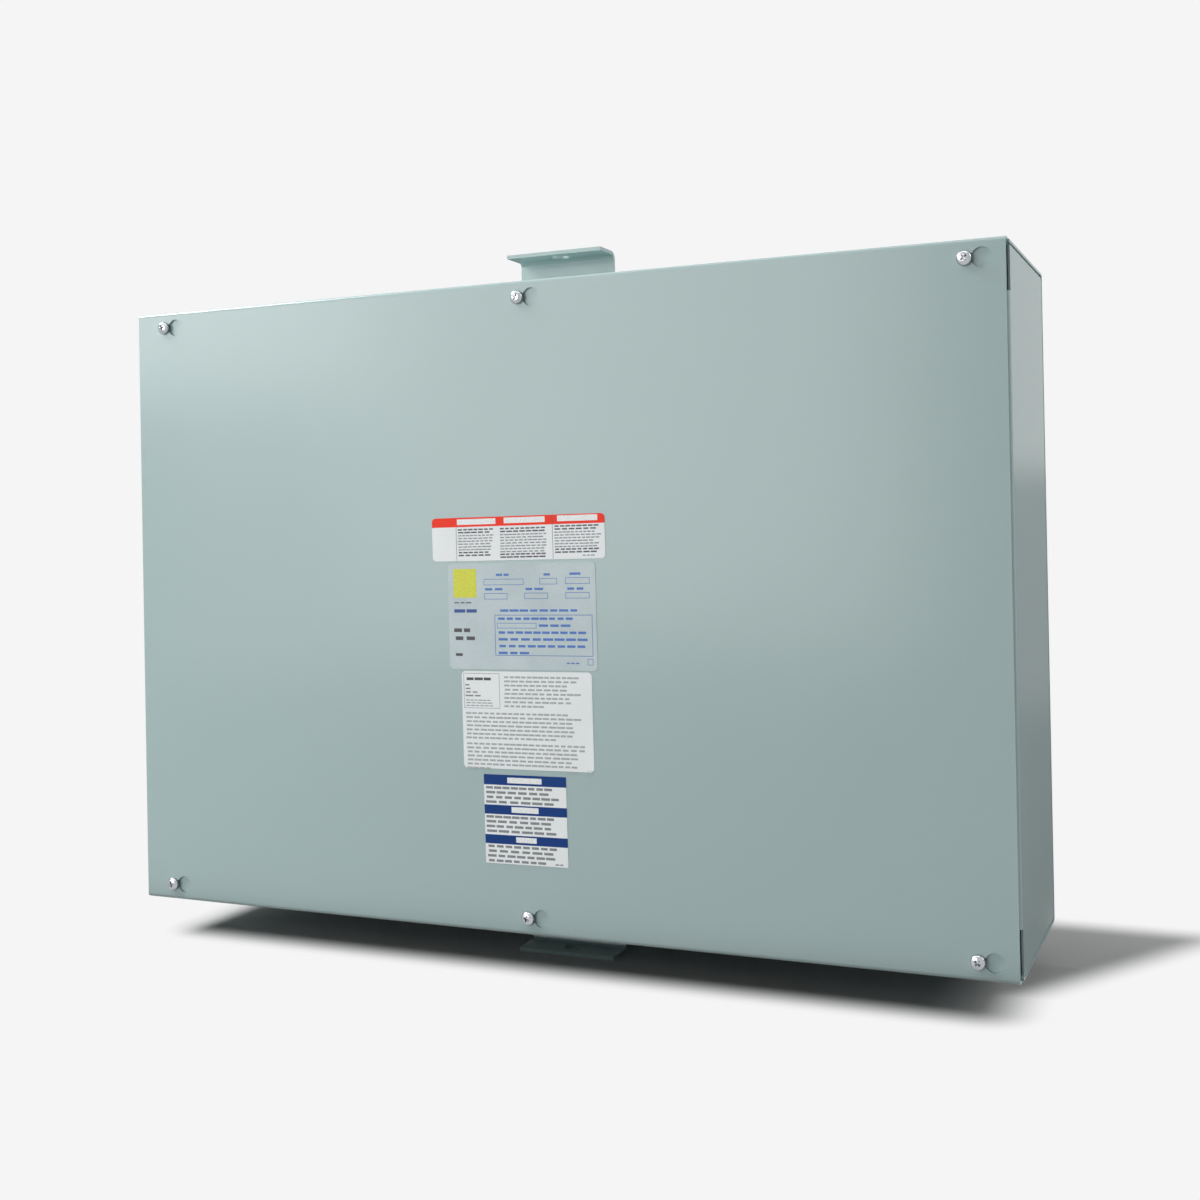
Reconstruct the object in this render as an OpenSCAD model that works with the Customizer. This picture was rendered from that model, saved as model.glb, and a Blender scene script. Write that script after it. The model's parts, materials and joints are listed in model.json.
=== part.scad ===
// Busway tap off box: a screwed sheet-steel box that plugs onto the front of a busway run.
// X runs along the busway, Y towards the busway and Z up. The origin is the centre of the rear face.

/* [Enclosure] */
// Width over the two end walls
box_w = 670; // [600:1:760]
// Height of the cover over its bent flanges
cover_h = 457; // [440:1:520]
// Depth from the rear face to the front of the cover
box_d = 154; // [140:1:190]
// Thickness of the painted sheet steel
sheet = 1.5; // [1.2:0.1:1.8]
// Inside radius of the sheet bends
bend_r = 1.2; // [0.8:0.1:2]
// Height of the wrapper's front return flanges
return_h = 31; // [28:1:38]
// Width of the end walls' front return flanges
side_return_w = 24; // [20:1:30]
// Width of the end walls' welding flanges
weld_flange_w = 16; // [12:1:20]
// Set-back of the end wall's front edge beside the wrapper's return flanges
corner_notch = 3.7; // [3.4:0.1:5]
// Gap between the box and the cover that wraps over it
cover_gap = 0.3; // [0.2:0.1:0.6]

/* [Cover] */
// Step in from the end wall's outer face to the cover's edge
cover_step = 1.6; // [1:0.1:2.4]
// Depth of the cover's top and bottom flanges
cover_flange_d = 20; // [14:1:26]
// Distance of the outer screws from the cover's side edges
screw_side_inset = 25; // [20:1:60]
// Distance of the screws from the cover's top and bottom edges
screw_edge_inset = 12; // [11:0.5:16]
// Sideways travel between the keyhole's slot and its round hole
key_travel = 10.3; // [9:0.1:13]
// Diameter of the keyhole's round hole
key_hole_d = 12.7; // [11.5:0.1:14]
// Width of the keyhole's slot
key_slot_w = 5.6; // [5.2:0.1:6.4]

/* [Cover screws] */
// Thread diameter
screw_d = 4.8; // [4:0.1:5]
// Head diameter
screw_head_d = 9.6; // [8:0.1:10.5]
// Head height at its crown
screw_head_h = 3.4; // [2.6:0.1:4]
// Shank length under the head
screw_len = 14; // [10:1:18]
// Height of the nuts welded behind the return flanges
cover_nut_h = 4; // [3:0.5:5]
// Width across the flats of those nuts
cover_nut_af = 9.5; // [8:0.5:11]

/* [Hanger brackets] */
// Width of a bracket along the box
bracket_w = 76; // [60:1:100]
// Thickness of the bracket steel
bracket_t = 2.7; // [2:0.1:4]
// Inside radius of the bracket's bends
bracket_bend_r = 3; // [2:0.5:5]
// Height of a bracket above the box
bracket_rise = 32; // [26:1:45]
// Forward reach of the outer flange from the web's front face
bracket_reach = 24; // [22:1:40]
// Length of the foot from the web's rear face
bracket_foot = 26; // [22:1:36]
// Distance of the web's front face from the box's rear face
bracket_y = 70; // [62:1:90]
// Diameter of the hole for the hanger rod
hanger_hole_d = 13; // [10:0.5:16]
// Distance of that hole's centre from the flange's front edge
hanger_hole_edge = 13; // [11:0.5:15]
// Spacing of a bracket's two bolts
bracket_bolt_spacing = 44; // [36:1:52]
// Diameter of the bracket bolts
bracket_bolt_d = 6; // [5:0.5:8]

/* [Plug base] */
// Distance of the plug's centre line from the left end of the box
plug_inset = 145; // [137:1:165]
// Spacing of the conductors up the box
pitch = 38; // [37:0.5:40]
// Length of the plug base along the busway
plug_w = 60; // [50:1:66]
// Reach of the plug base behind the rear face
plug_reach = 46; // [44:1:52]
// Thickness of the barrier ribs between jaws
rib_t = 4; // [3:0.5:6]
// Thickness of the plug base's floor behind the rear face
plug_floor = 2; // [1.5:0.5:3]
// Thickness of the mounting flange inside the box
plug_flange_t = 6; // [5:0.5:8]
// Distance of the flange's studs from the comb's ends
flange_stud_inset = 10; // [6:1:16]
// Width of the mounting flange round the comb
plug_flange_w = 16; // [14:1:18]
// Reach of the end cheeks behind the rear face
cheek_reach = 16; // [12:1:20]
// Thickness of the end cheeks
cheek_t = 3; // [2:0.5:4]

/* [Conductors] */
// Thickness of the bus bars and stubs
bar_t = 6; // [5:0.5:6.5]
// Width of a stub through the plug base
stub_w = 25; // [20:1:28]
// Distance of a stub's tip behind the rear face
stub_reach = 14; // [12:1:16]
// Distance of the bus bar's rear edge from the rear face
bar_back = 12; // [11:1:14]
// Width of the bus bar's run across the box
bar_run_w = 23; // [20:1:28]
// Inside radius of the bus bar's bend
bar_bend_r = 3; // [2:0.5:4]
// Height of the ear that carries the lug, from the bar's top face
ear_h = 33; // [32:0.5:34]
// Length of the ear along the bar
ear_w = 32; // [28:1:40]
// Distance of the lug bolts to the right of the box's centre
lug_bolt_x = 52; // [30:1:80]

/* [Jaws] */
// Width of a jaw finger along the busway
jaw_w = 24; // [18:1:26]
// Thickness of a jaw finger
jaw_t = 3; // [2:0.2:3.2]
// Distance of the finger tips behind the rear face
jaw_reach = 42; // [40:1:44]
// Distance of the grip from the finger tips
grip_back = 10; // [8:0.5:12]
// Length of the flat at the grip
grip_flat = 6; // [4:0.5:7]
// Opening-out of a finger from the grip to its tip
jaw_flare = 4; // [3:0.2:5]
// Bow of a leaf spring off its finger
spring_bow = 1.6; // [1:0.1:2.4]
// Gap between the fingers where they grip
jaw_gap = 5.2; // [4.8:0.1:5.6]
// Thickness of the leaf springs
spring_t = 1; // [0.6:0.1:1.2]
// Diameter of the jaw rivets
rivet_d = 5; // [4:0.5:6]

/* [Lugs] */
// Width of a lug up the box
lug_w = 24; // [20:1:25]
// Diameter of the cable barrel
barrel_d = 16; // [12:0.5:17]
// Length of the barrel block
barrel_len = 34; // [26:1:44]
// Thickness of the lug's tongue
tongue_t = 6; // [4:0.5:8]
// Wall behind the barrel
barrel_wall = 4; // [3:0.5:6]
// Wall in front of the barrel, which carries the set screw
set_wall = 8; // [6:0.5:10]
// Diameter of the set screw
set_screw_d = 12; // [8:0.5:13]
// Length of the set screw
set_screw_len = 14; // [12:1:20]
// Clearance between the mounting bolt's head and the barrel block
lug_shoulder = 4; // [3:0.5:8]
// Diameter of the lug's mounting bolt
lug_bolt_d = 8; // [6:0.5:9]

/* [Insulators] */
// Diameter of a standoff insulator
standoff_d = 22; // [18:0.5:23]
// Thickness of the barrier blades and their base strip
blade_t = 2; // [1.5:0.1:2.4]
// Overhang of the blades past the ears and the lugs
blade_overhang = 10; // [6:1:16]
// Distance of the blades' front edge from the rear face
blade_reach = 82; // [74:1:96]
// Diameter of the studs welded to the back sheet
stud_d = 6; // [5:0.5:7]
// Diameter of the bonding spacer behind the ground bar
spacer_d = 16; // [14:0.5:18]

/* [Busway hooks and clamps] */
// Distance of the hooks and clamps from the ends of the box
clamp_inset = 65; // [60:1:72]
// Width of a hook and of a clamp
hook_w = 40; // [30:1:50]
// Thickness of the hook steel
hook_t = 3; // [2.5:0.5:4]
// Inside radius of the hook bends
hook_bend_r = 2; // [1.5:0.5:3]
// Half the height of the busway rim that they hold
rim_z = 120; // [114:1:130]
// Reach of the hooks behind the rear face
hook_reach = 42; // [36:1:48]
// Length of the hook's lip
lip_h = 17; // [12:1:22]
// Height of a hook's foot
foot_h = 30; // [28:1:36]
// Width of the clamp's guide tongue
guide_w = 20; // [14:1:26]
// Length of the guide tongue inside the back sheet
guide_len = 12; // [10:1:16]
// Rearward travel of a clamp from clamped to released
clamp_travel = 7.5; // [5:0.5:8]
// Gap between a clamp's foot and the rear face when clamped
clamp_rest = 2; // [1.6:0.1:3]
// Diameter of the clamp bolt
clamp_bolt_d = 8; // [6:0.5:9]
// Thread left past the nut when a clamp is released
thread_spare = 3; // [1:0.5:6]

/* [Labels] */
// Thickness of the labels
label_t = 0.2; // [0.1:0.05:0.4]
// Corner radius of the labels that have rounded corners
label_r = 3; // [1:0.5:5]
// Width and height of the red banded label
red_label_size = [135, 30.8]; // [20:0.2:160]
// Width and height of the silver rating label
silver_label_size = [115, 74.6]; // [20:0.2:160]
// Width and height of the white text label
white_label_size = [101.2, 68.4]; // [20:0.2:160]
// Width and height of the blue banded label
blue_label_size = [64, 62.4]; // [20:0.2:160]

/* [Hidden] */
$fn = 64;

// Clearances
run_gap = 0.05;      // radial, of a thread or rivet in its hole
slide_gap = 0.3;     // between parts that move past each other
fit_gap = 0.5;       // round a part that is pushed through an opening
bolt_gap = 0.4;      // radial, of a bolt in a clearance hole
cut = 1;             // overrun of every cutting shape

// Fasteners: sizes as shares of the thread's diameter
hex_ratio = 1.64;    // width across the flats
head_ratio = 0.66;   // height of a hex head
washer_ratio = 0.2;  // thickness of a washer or flange

// Enclosure
bend_outer = bend_r + sheet;
wrap_h = cover_h - 2 * (sheet + cover_gap);
wrap_front = -(box_d - sheet - cover_gap);
back_inner = -sheet;
wall_h = wrap_h - 2 * sheet;
wall_outer = box_w / 2;
wall_inner = wall_outer - sheet;
wall_return_z = wrap_h / 2 - return_h - fit_gap;

// Cover and its screws
cover_w = box_w - 2 * cover_step;
cover_front = -box_d;
screw_xs = [-(cover_w / 2 - screw_side_inset), 0, cover_w / 2 - screw_side_inset];
screw_z = cover_h / 2 - screw_edge_inset;
cover_screw_places = [for (x = screw_xs, z = [screw_z, -screw_z]) [x, z]];
screw_head_y = cover_front - slide_gap;

// Hanger brackets
bracket_outer_r = bracket_bend_r + bracket_t;
bracket_top = wrap_h / 2 + bracket_rise;
web_front = -bracket_y;
web_rear = web_front + bracket_t;
hanger_hole_y = web_front - bracket_reach + hanger_hole_edge;
bracket_bolt_y = web_rear + (bracket_bend_r + bracket_foot) / 2;
bracket_bolt_places = [for (x = [-1, 1], s = [-1, 1]) [x * bracket_bolt_spacing / 2, s]];

// Conductors: phase A on top, then B, C, neutral and ground
PHASES = 5;
GROUND = PHASES - 1;
function bar_z(i) = (GROUND / 2 - i) * pitch;
plug_x = plug_inset - box_w / 2;
head_h = PHASES * pitch + rib_t;
run_front = -bar_back - bar_run_w;
ear_rear = run_front - bar_bend_r;
ear_front = ear_rear - bar_t;
bar_outer_r = bar_bend_r + bar_t;
ear_low = bar_t / 2 - ear_h;
ear_mid = (ear_low - bar_t / 2 - bar_bend_r) / 2;
function lug_z(i) = bar_z(i) + ear_mid;
ear_x0 = lug_bolt_x - ear_w / 2;
ear_x1 = lug_bolt_x + ear_w / 2;

// Plug base
plug_front = back_inner - plug_flange_t;
flange_stud_x = plug_w / 2 + plug_flange_w / 2;
flange_stud_z = head_h / 2 - flange_stud_inset;
flange_stud_places = [for (x = [-1, 1], z = [-1, 1]) [plug_x + x * flange_stud_x, z * flange_stud_z]];

// Jaws
rivet_y = (plug_floor + stub_reach) / 2;
jaw_root = plug_floor + slide_gap;
grip_y = jaw_reach - grip_back;

// Lugs
barrel_x0 = lug_bolt_x + lug_bolt_d + lug_shoulder;
barrel_y = ear_front - barrel_wall - barrel_d / 2;
lug_front = barrel_y - barrel_d / 2 - set_wall;
set_screw_x = barrel_x0 + barrel_len / 2;
set_screw_tip = barrel_y - barrel_d / 2;

// Insulators
strip_front = back_inner - blade_t;
function blade_z(i) = bar_z(i) - (pitch + ear_h - bar_t) / 2;
strip_x0 = ear_x0 - blade_overhang;
strip_x1 = barrel_x0 + barrel_len + blade_overhang;

// Hooks and clamps
hook_outer_r = hook_bend_r + hook_t;
clamp_x = box_w / 2 - clamp_inset;
clamp_bolt_z = rim_z + foot_h / 2 + hook_t;
clamp_nut_h = 0.8 * clamp_bolt_d;
clamp_bolt_tip = clamp_rest + hook_t + clamp_nut_h + clamp_travel + thread_spare;

// Labels: places on the cover, with the small tilt of a label stuck on by hand
label_rear = cover_front;
red_label_place = [-3.9, 48.6, 0.6];
silver_label_place = [-1.4, -6.3, 0.4];
white_label_place = [1.5, -79, 0.6];
blue_label_place = [-0.8, -148.5, 0.7];

// Colours
paint = [0.70, 0.76, 0.74];
zinc = [0.78, 0.79, 0.80];
steel = [0.62, 0.63, 0.65];
copper = [0.78, 0.47, 0.30];
tin = [0.80, 0.80, 0.78];
moulding = [0.16, 0.16, 0.17];
red_moulding = [0.55, 0.13, 0.09];
barrier_white = [0.88, 0.86, 0.78];

// ---------- helpers ----------

// Extrudes a Y-Z profile along X, centred on the given place
module along_x(length, x = 0) {
    translate([x, 0, 0]) rotate([90, 0, 90]) linear_extrude(height = length, center = true) children();
}

// Extrudes an X-Z profile from y0 to y1
module along_y(y0, y1) {
    translate([0, y1, 0]) rotate([90, 0, 0]) linear_extrude(height = y1 - y0) children();
}

// Extrudes an X-Y profile from z0 to z1
module along_z(z0, z1) {
    translate([0, 0, z0]) linear_extrude(height = z1 - z0) children();
}

// Rectangle between two corners
module rect(x0, y0, x1, y1) {
    translate([x0, y0]) square([x1 - x0, y1 - y0]);
}

// Rectangle between two corners with round corners
module round_rect(x0, y0, x1, y1, r) {
    rect(x0 + r, y0, x1 - r, y1);
    rect(x0, y0 + r, x1, y1 - r);
    for (x = [x0 + r, x1 - r], y = [y0 + r, y1 - r]) translate([x, y]) circle(r);
}

// Closed ring of folded sheet; a profile is cut out of it
module sheet_ring(x0, y0, x1, y1) {
    difference() {
        round_rect(x0, y0, x1, y1, bend_outer);
        round_rect(x0 + sheet, y0 + sheet, x1 - sheet, y1 - sheet, bend_r);
    }
}

// Quarter of a bent strip round the given centre; sx and sy choose the quadrant
module quarter_bend(cx, cy, r_in, r_out, sx, sy) {
    translate([cx, cy]) scale([sx, sy]) intersection() {
        difference() {
            circle(r_out);
            circle(r_in);
        }
        square(r_out);
    }
}

// Cylinder along Y from y0 to y1
module rod_y(d, y0, y1) {
    translate([0, y1, 0]) rotate([90, 0, 0]) cylinder(d = d, h = y1 - y0);
}

// Hexagonal prism along Y from y0 to y1, by its width across the flats
module hex_y(af, y0, y1) {
    translate([0, y1, 0]) rotate([90, 0, 0]) cylinder(d = af / cos(30), h = y1 - y0, $fn = 6);
}

// Hexagonal prism along Z from z0 to z1, by its width across the flats
module hex_z(af, z0, z1) {
    translate([0, 0, z0]) cylinder(d = af / cos(30), h = z1 - z0, $fn = 6);
}

// Hex nut along Y with a running bore
module nut_y(af, bore_d, y0, y1) {
    difference() {
        hex_y(af, y0, y1);
        rod_y(bore_d + 2 * run_gap, y0 - cut, y1 + cut);
    }
}

// ---------- enclosure ----------

// Folded back, top and bottom with the two front return flanges
module wrapper_profile() {
    difference() {
        sheet_ring(wrap_front, -wrap_h / 2, 0, wrap_h / 2);
        rect(wrap_front - cut, return_h - wrap_h / 2, wrap_front + bend_outer, wrap_h / 2 - return_h);
    }
}

module back_wrapper() {
    color(paint) difference() {
        along_x(box_w) wrapper_profile();
        // the return flanges stop inside the end walls
        for (s = [-1, 1])
            translate([s * (wall_inner - slide_gap + box_w / 2), wrap_front, 0])
                cube([box_w, 2 * bend_outer, wrap_h + cut], center = true);
        plug_opening();
        for (p = cover_screw_places)
            translate([p[0], 0, p[1]]) rod_y(screw_d + 2 * bolt_gap, wrap_front - cut, wrap_front + sheet + cut);
        for (p = bracket_bolt_places)
            translate([p[0], bracket_bolt_y, p[1] * wrap_h / 2])
                cylinder(d = bracket_bolt_d + 2 * bolt_gap, h = 4 * sheet, center = true);
        for (s = [-1, 1]) {
            translate([s * clamp_x, 0, -clamp_bolt_z])
                rod_y(clamp_bolt_d + 2 * bolt_gap, back_inner - cut, cut);
            translate([s * clamp_x, back_inner / 2, -(rim_z + hook_t / 2)])
                cube([guide_w + 2 * slide_gap, sheet + 2 * cut, hook_t + 2 * slide_gap], center = true);
        }
    }
}

// Opening in the back sheet for the plug base's comb
module plug_opening() {
    along_y(back_inner - cut, cut)
        round_rect(plug_x - plug_w / 2 - fit_gap, -head_h / 2 - fit_gap,
                   plug_x + plug_w / 2 + fit_gap, head_h / 2 + fit_gap, fit_gap);
}

// Right-hand end wall: a pan with welding flanges and a front return flange
module end_wall() {
    weld_x = wall_outer - weld_flange_w;
    pan_end = wall_h / 2 - bend_outer;
    color(paint) {
        // flat wall, set back beside the wrapper's return flanges
        along_z(-pan_end, pan_end) rect(wall_inner, wrap_front + corner_notch, wall_outer, back_inner - bend_outer);
        // front return flange
        along_z(-wall_return_z, wall_return_z) intersection() {
            sheet_ring(-wall_outer, wrap_front, wall_outer, back_inner);
            rect(wall_outer - side_return_w, wrap_front, wall_outer, wrap_front + box_d / 2);
        }
        // rear welding flange
        along_z(-pan_end + sheet, pan_end - sheet) intersection() {
            sheet_ring(-wall_outer, wrap_front, wall_outer, back_inner);
            rect(weld_x, back_inner - 2 * bend_outer, wall_outer, back_inner);
        }
        // top and bottom welding flanges
        along_y(wrap_front + corner_notch, back_inner - bend_outer - sheet) intersection() {
            sheet_ring(-wall_outer, -wall_h / 2, wall_outer, wall_h / 2);
            difference() {
                rect(weld_x, -wall_h / 2, wall_outer, wall_h / 2);
                rect(weld_x - cut, sheet - pan_end, wall_outer + cut, pan_end - sheet);
            }
        }
    }
}

module left_end_wall() {
    mirror([1, 0, 0]) end_wall();
}

module right_end_wall() {
    end_wall();
}

// Nuts welded behind the return flanges for the cover screws
module cover_nuts() {
    y0 = wrap_front + sheet;
    color(steel) for (p = cover_screw_places)
        translate([p[0], 0, p[1]]) nut_y(cover_nut_af, screw_d, y0, y0 + cover_nut_h);
}

// ---------- hanger brackets ----------

// Z-shaped strip: foot on the box, upright web and outer flange reaching forward
module bracket_profile() {
    foot_z = wrap_h / 2;
    foot_bend_z = foot_z + bracket_outer_r;
    flange_bend_z = bracket_top - bracket_outer_r;
    rect(web_rear + bracket_bend_r, foot_z, web_rear + bracket_foot, foot_z + bracket_t);
    quarter_bend(web_rear + bracket_bend_r, foot_bend_z, bracket_bend_r, bracket_outer_r, -1, -1);
    rect(web_front, foot_bend_z, web_rear, flange_bend_z);
    quarter_bend(web_front - bracket_bend_r, flange_bend_z, bracket_bend_r, bracket_outer_r, 1, 1);
    rect(web_front - bracket_reach, bracket_top - bracket_t, web_front - bracket_bend_r, bracket_top);
}

module top_hanger_bracket() {
    color(paint) difference() {
        along_x(bracket_w) bracket_profile();
        translate([0, hanger_hole_y, bracket_top - bracket_t - cut])
            cylinder(d = hanger_hole_d, h = bracket_t + 2 * cut);
        for (p = bracket_bolt_places)
            translate([p[0], bracket_bolt_y, wrap_h / 2 - cut])
                cylinder(d = bracket_bolt_d + 2 * bolt_gap, h = bracket_t + 2 * cut);
    }
}

module bottom_hanger_bracket() {
    mirror([0, 0, 1]) top_hanger_bracket();
}

// Hex bolts through the bracket feet and the box
module bracket_bolts() {
    head_z = wrap_h / 2 + bracket_t;
    shank_len = bracket_t + sheet + 1.3 * bracket_bolt_d;
    color(zinc) for (p = bracket_bolt_places)
        translate([p[0], bracket_bolt_y, 0]) mirror([0, 0, p[1] < 0 ? 1 : 0]) {
            hex_z(hex_ratio * bracket_bolt_d, head_z, head_z + head_ratio * bracket_bolt_d);
            translate([0, 0, head_z - shank_len])
                cylinder(d = bracket_bolt_d, h = shank_len + head_ratio * bracket_bolt_d / 2);
        }
}

module bracket_nuts() {
    nut_top = wrap_h / 2 - sheet;
    nut_h = 0.8 * bracket_bolt_d;
    color(zinc) for (p = bracket_bolt_places)
        translate([p[0], bracket_bolt_y, 0]) mirror([0, 0, p[1] < 0 ? 1 : 0]) difference() {
            hex_z(hex_ratio * bracket_bolt_d, nut_top - nut_h, nut_top);
            translate([0, 0, nut_top - nut_h - cut])
                cylinder(d = bracket_bolt_d + 2 * run_gap, h = nut_h + 2 * cut);
        }
}

// ---------- cover ----------

// Flat front with a flange bent back along the top and the bottom
module cover_profile() {
    intersection() {
        sheet_ring(cover_front, -cover_h / 2, cover_front + 2 * cover_flange_d, cover_h / 2);
        rect(cover_front, -cover_h / 2, cover_front + cover_flange_d, cover_h / 2);
    }
}

// Slot round the screw that opens sideways into a hole which passes the head
module keyhole() {
    along_y(cover_front - cut, cover_front + sheet + cut) {
        circle(d = key_slot_w);
        rect(0, -key_slot_w / 2, key_travel, key_slot_w / 2);
        translate([key_travel, 0]) circle(d = key_hole_d);
    }
}

module cover_panel() {
    color(paint) difference() {
        along_x(cover_w) cover_profile();
        for (p = cover_screw_places) translate([p[0], 0, p[1]]) keyhole();
    }
}

// Pan head whose crown is part of a sphere
module pan_head() {
    rim_h = screw_head_h / 3;
    crown_h = screw_head_h - rim_h;
    crown_r = (pow(screw_head_d / 2, 2) + pow(crown_h, 2)) / (2 * crown_h);
    rotate([90, 0, 0]) rotate_extrude() {
        square([screw_head_d / 2, rim_h]);
        translate([0, rim_h]) intersection() {
            translate([0, crown_h - crown_r]) circle(crown_r);
            square([screw_head_d / 2, crown_h]);
        }
    }
}

module cover_screws() {
    color(zinc) for (p = cover_screw_places) translate([p[0], 0, p[1]]) {
        translate([0, screw_head_y, 0]) pan_head();
        rod_y(screw_d, screw_head_y - screw_head_h / 2, screw_head_y + screw_len);
    }
}

// ---------- labels ----------

// Thin label at [x, z, tilt] on the cover's front
module label(size, place, r) {
    translate([place[0], 0, place[1]]) rotate([0, -place[2], 0])
        along_y(label_rear - label_t, label_rear)
            round_rect(-size[0] / 2, -size[1] / 2, size[0] / 2, size[1] / 2, r);
}

module red_label() {
    color([0.93, 0.93, 0.92]) label(red_label_size, red_label_place, label_r);
}

module silver_label() {
    color([0.74, 0.78, 0.82]) label(silver_label_size, silver_label_place, label_r);
}

module white_label() {
    color([0.93, 0.93, 0.92]) label(white_label_size, white_label_place, label_r);
}

module blue_label() {
    color([0.93, 0.93, 0.92]) label(blue_label_size, blue_label_place, label_t);
}

// ---------- plug base ----------

// Floor with a rib on each side of every conductor
module comb_profile() {
    rect(plug_front, -head_h / 2, plug_floor, head_h / 2);
    for (k = [0:PHASES]) {
        z = (k - PHASES / 2) * pitch;
        rect(plug_front, z - rib_t / 2, plug_reach - rib_t / 2, z + rib_t / 2);
        translate([plug_reach - rib_t / 2, z]) circle(rib_t / 2);
    }
}

module plug_base() {
    color(moulding) difference() {
        union() {
            along_x(plug_w, plug_x) comb_profile();
            for (s = [-1, 1])
                along_x(cheek_t, plug_x + s * (plug_w - cheek_t) / 2)
                    rect(plug_front, -head_h / 2, cheek_reach, head_h / 2);
            along_y(plug_front, back_inner)
                round_rect(plug_x - plug_w / 2 - plug_flange_w, -head_h / 2 - plug_flange_w,
                           plug_x + plug_w / 2 + plug_flange_w, head_h / 2 + plug_flange_w, plug_flange_w / 2);
        }
        for (i = [0:GROUND])
            translate([plug_x, (plug_front + plug_floor) / 2, bar_z(i)])
                cube([stub_w + 2 * run_gap, plug_floor - plug_front + 2 * cut, bar_t + 2 * run_gap], center = true);
        for (p = flange_stud_places)
            translate([p[0], 0, p[1]]) rod_y(stud_d + 2 * bolt_gap, plug_front - cut, back_inner + cut);
    }
}

// Studs welded to the back sheet for the plug base, the standoffs and the ground spacer
module weld_studs() {
    color(steel) {
        for (p = flange_stud_places)
            translate([p[0], 0, p[1]]) rod_y(stud_d, plug_front - stud_d, back_inner);
        for (i = [0:GROUND])
            translate([lug_bolt_x, 0, lug_z(i)]) rod_y(stud_d, back_inner - 2 * stud_d, back_inner);
    }
}

module stud_nuts() {
    color(zinc) for (p = flange_stud_places)
        translate([p[0], 0, p[1]]) nut_y(hex_ratio * stud_d, stud_d, plug_front - 0.8 * stud_d, plug_front);
}

// ---------- jaws ----------

// Side view of the upper finger: flat on the stub, closing to the grip, then flared to guide the bus bar in
module finger_profile() {
    s = bar_t / 2;
    g = jaw_gap / 2;
    y1 = grip_y - grip_flat / 2;
    y2 = grip_y + grip_flat / 2;
    polygon([
        [jaw_root, s], [stub_reach, s], [y1, g], [y2, g], [jaw_reach, g + jaw_flare],
        [jaw_reach - jaw_t / 2, g + jaw_flare + jaw_t], [y2 - jaw_t / 3, g + jaw_t], [y1, g + jaw_t],
        [stub_reach, s + jaw_t], [jaw_root, s + jaw_t]
    ]);
}

// Side view of the upper leaf spring: riveted at its root, bowed, and bearing on the finger at the grip
module spring_profile() {
    s = bar_t / 2 + jaw_t;
    g = jaw_gap / 2 + jaw_t;
    y1 = grip_y - grip_flat / 4;
    y2 = grip_y + grip_flat / 4;
    bow_y = (stub_reach + grip_y) / 2;
    polygon([
        [jaw_root + spring_t, s], [stub_reach, s], [bow_y, s + spring_bow], [y1, g], [y2, g],
        [y2, g + spring_t], [y1, g + spring_t], [bow_y, s + spring_bow + spring_t],
        [stub_reach, s + spring_t], [jaw_root + spring_t, s + spring_t]
    ]);
}

// Lays a profile on both sides of a stub and drills it for the rivet
module paired(width, i) {
    translate([plug_x, 0, bar_z(i)]) difference() {
        for (s = [0, 1]) mirror([0, 0, s]) along_x(width) children();
        translate([0, rivet_y, 0]) cylinder(d = rivet_d + 2 * run_gap, h = pitch, center = true);
    }
}

module jaw(i) {
    color(copper) paired(jaw_w, i) finger_profile();
}

module jaw_springs() {
    color(steel) for (i = [0:GROUND]) paired(0.7 * jaw_w, i) spring_profile();
}

module jaw_rivets() {
    grip_h = bar_t + 2 * (jaw_t + spring_t);
    head_h = 0.3 * rivet_d;
    color(steel) for (i = [0:GROUND]) translate([plug_x, rivet_y, bar_z(i)]) {
        cylinder(d = rivet_d, h = grip_h + head_h, center = true);
        for (s = [0, 1]) mirror([0, 0, s]) translate([0, 0, grip_h / 2])
            cylinder(d1 = 1.6 * rivet_d, d2 = 1.1 * rivet_d, h = head_h);
    }
}

// ---------- bus bars ----------

// Flat bar from the stub, across the box, to an ear bent down to face the front
module bus_bar(i) {
    color(copper) translate([0, 0, bar_z(i)]) difference() {
        union() {
            along_z(-bar_t / 2, bar_t / 2) bar_outline();
            along_x(ear_w, lug_bolt_x) {
                rect(run_front, -bar_t / 2, run_front + bar_t, bar_t / 2);
                quarter_bend(run_front, -bar_t / 2 - bar_bend_r, bar_bend_r, bar_outer_r, -1, 1);
                rect(ear_front, ear_low, ear_rear, -bar_t / 2 - bar_bend_r);
            }
        }
        translate([plug_x, rivet_y, 0]) cylinder(d = rivet_d + 2 * run_gap, h = 2 * bar_t, center = true);
        translate([lug_bolt_x, 0, ear_mid]) rod_y(lug_bolt_d + 2 * bolt_gap, ear_front - cut, ear_rear + cut);
    }
}

// Plan of the bar: stub and run, with the outer corner clipped
module bar_outline() {
    clip = bar_run_w / 4;
    x0 = plug_x - stub_w / 2;
    x1 = plug_x + stub_w / 2;
    polygon([
        [x0 + clip, run_front], [ear_x1, run_front], [ear_x1, -bar_back], [x1, -bar_back],
        [x1, stub_reach], [x0, stub_reach], [x0, run_front + clip]
    ]);
}

// ---------- lugs ----------

// Mechanical lug: tongue under the bolt, block with a cable barrel and a set screw into it
module lug(i) {
    color(tin) translate([0, 0, lug_z(i)]) difference() {
        along_z(-lug_w / 2, lug_w / 2) lug_outline();
        translate([barrel_x0 - cut, barrel_y, 0]) rotate([0, 90, 0])
            cylinder(d = barrel_d, h = barrel_len + 2 * cut);
        translate([set_screw_x, 0, 0]) rod_y(set_screw_d + 2 * run_gap, lug_front - cut, barrel_y);
        translate([lug_bolt_x, 0, 0]) rod_y(lug_bolt_d + 2 * bolt_gap, ear_front - tongue_t - cut, ear_front + cut);
    }
}

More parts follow.
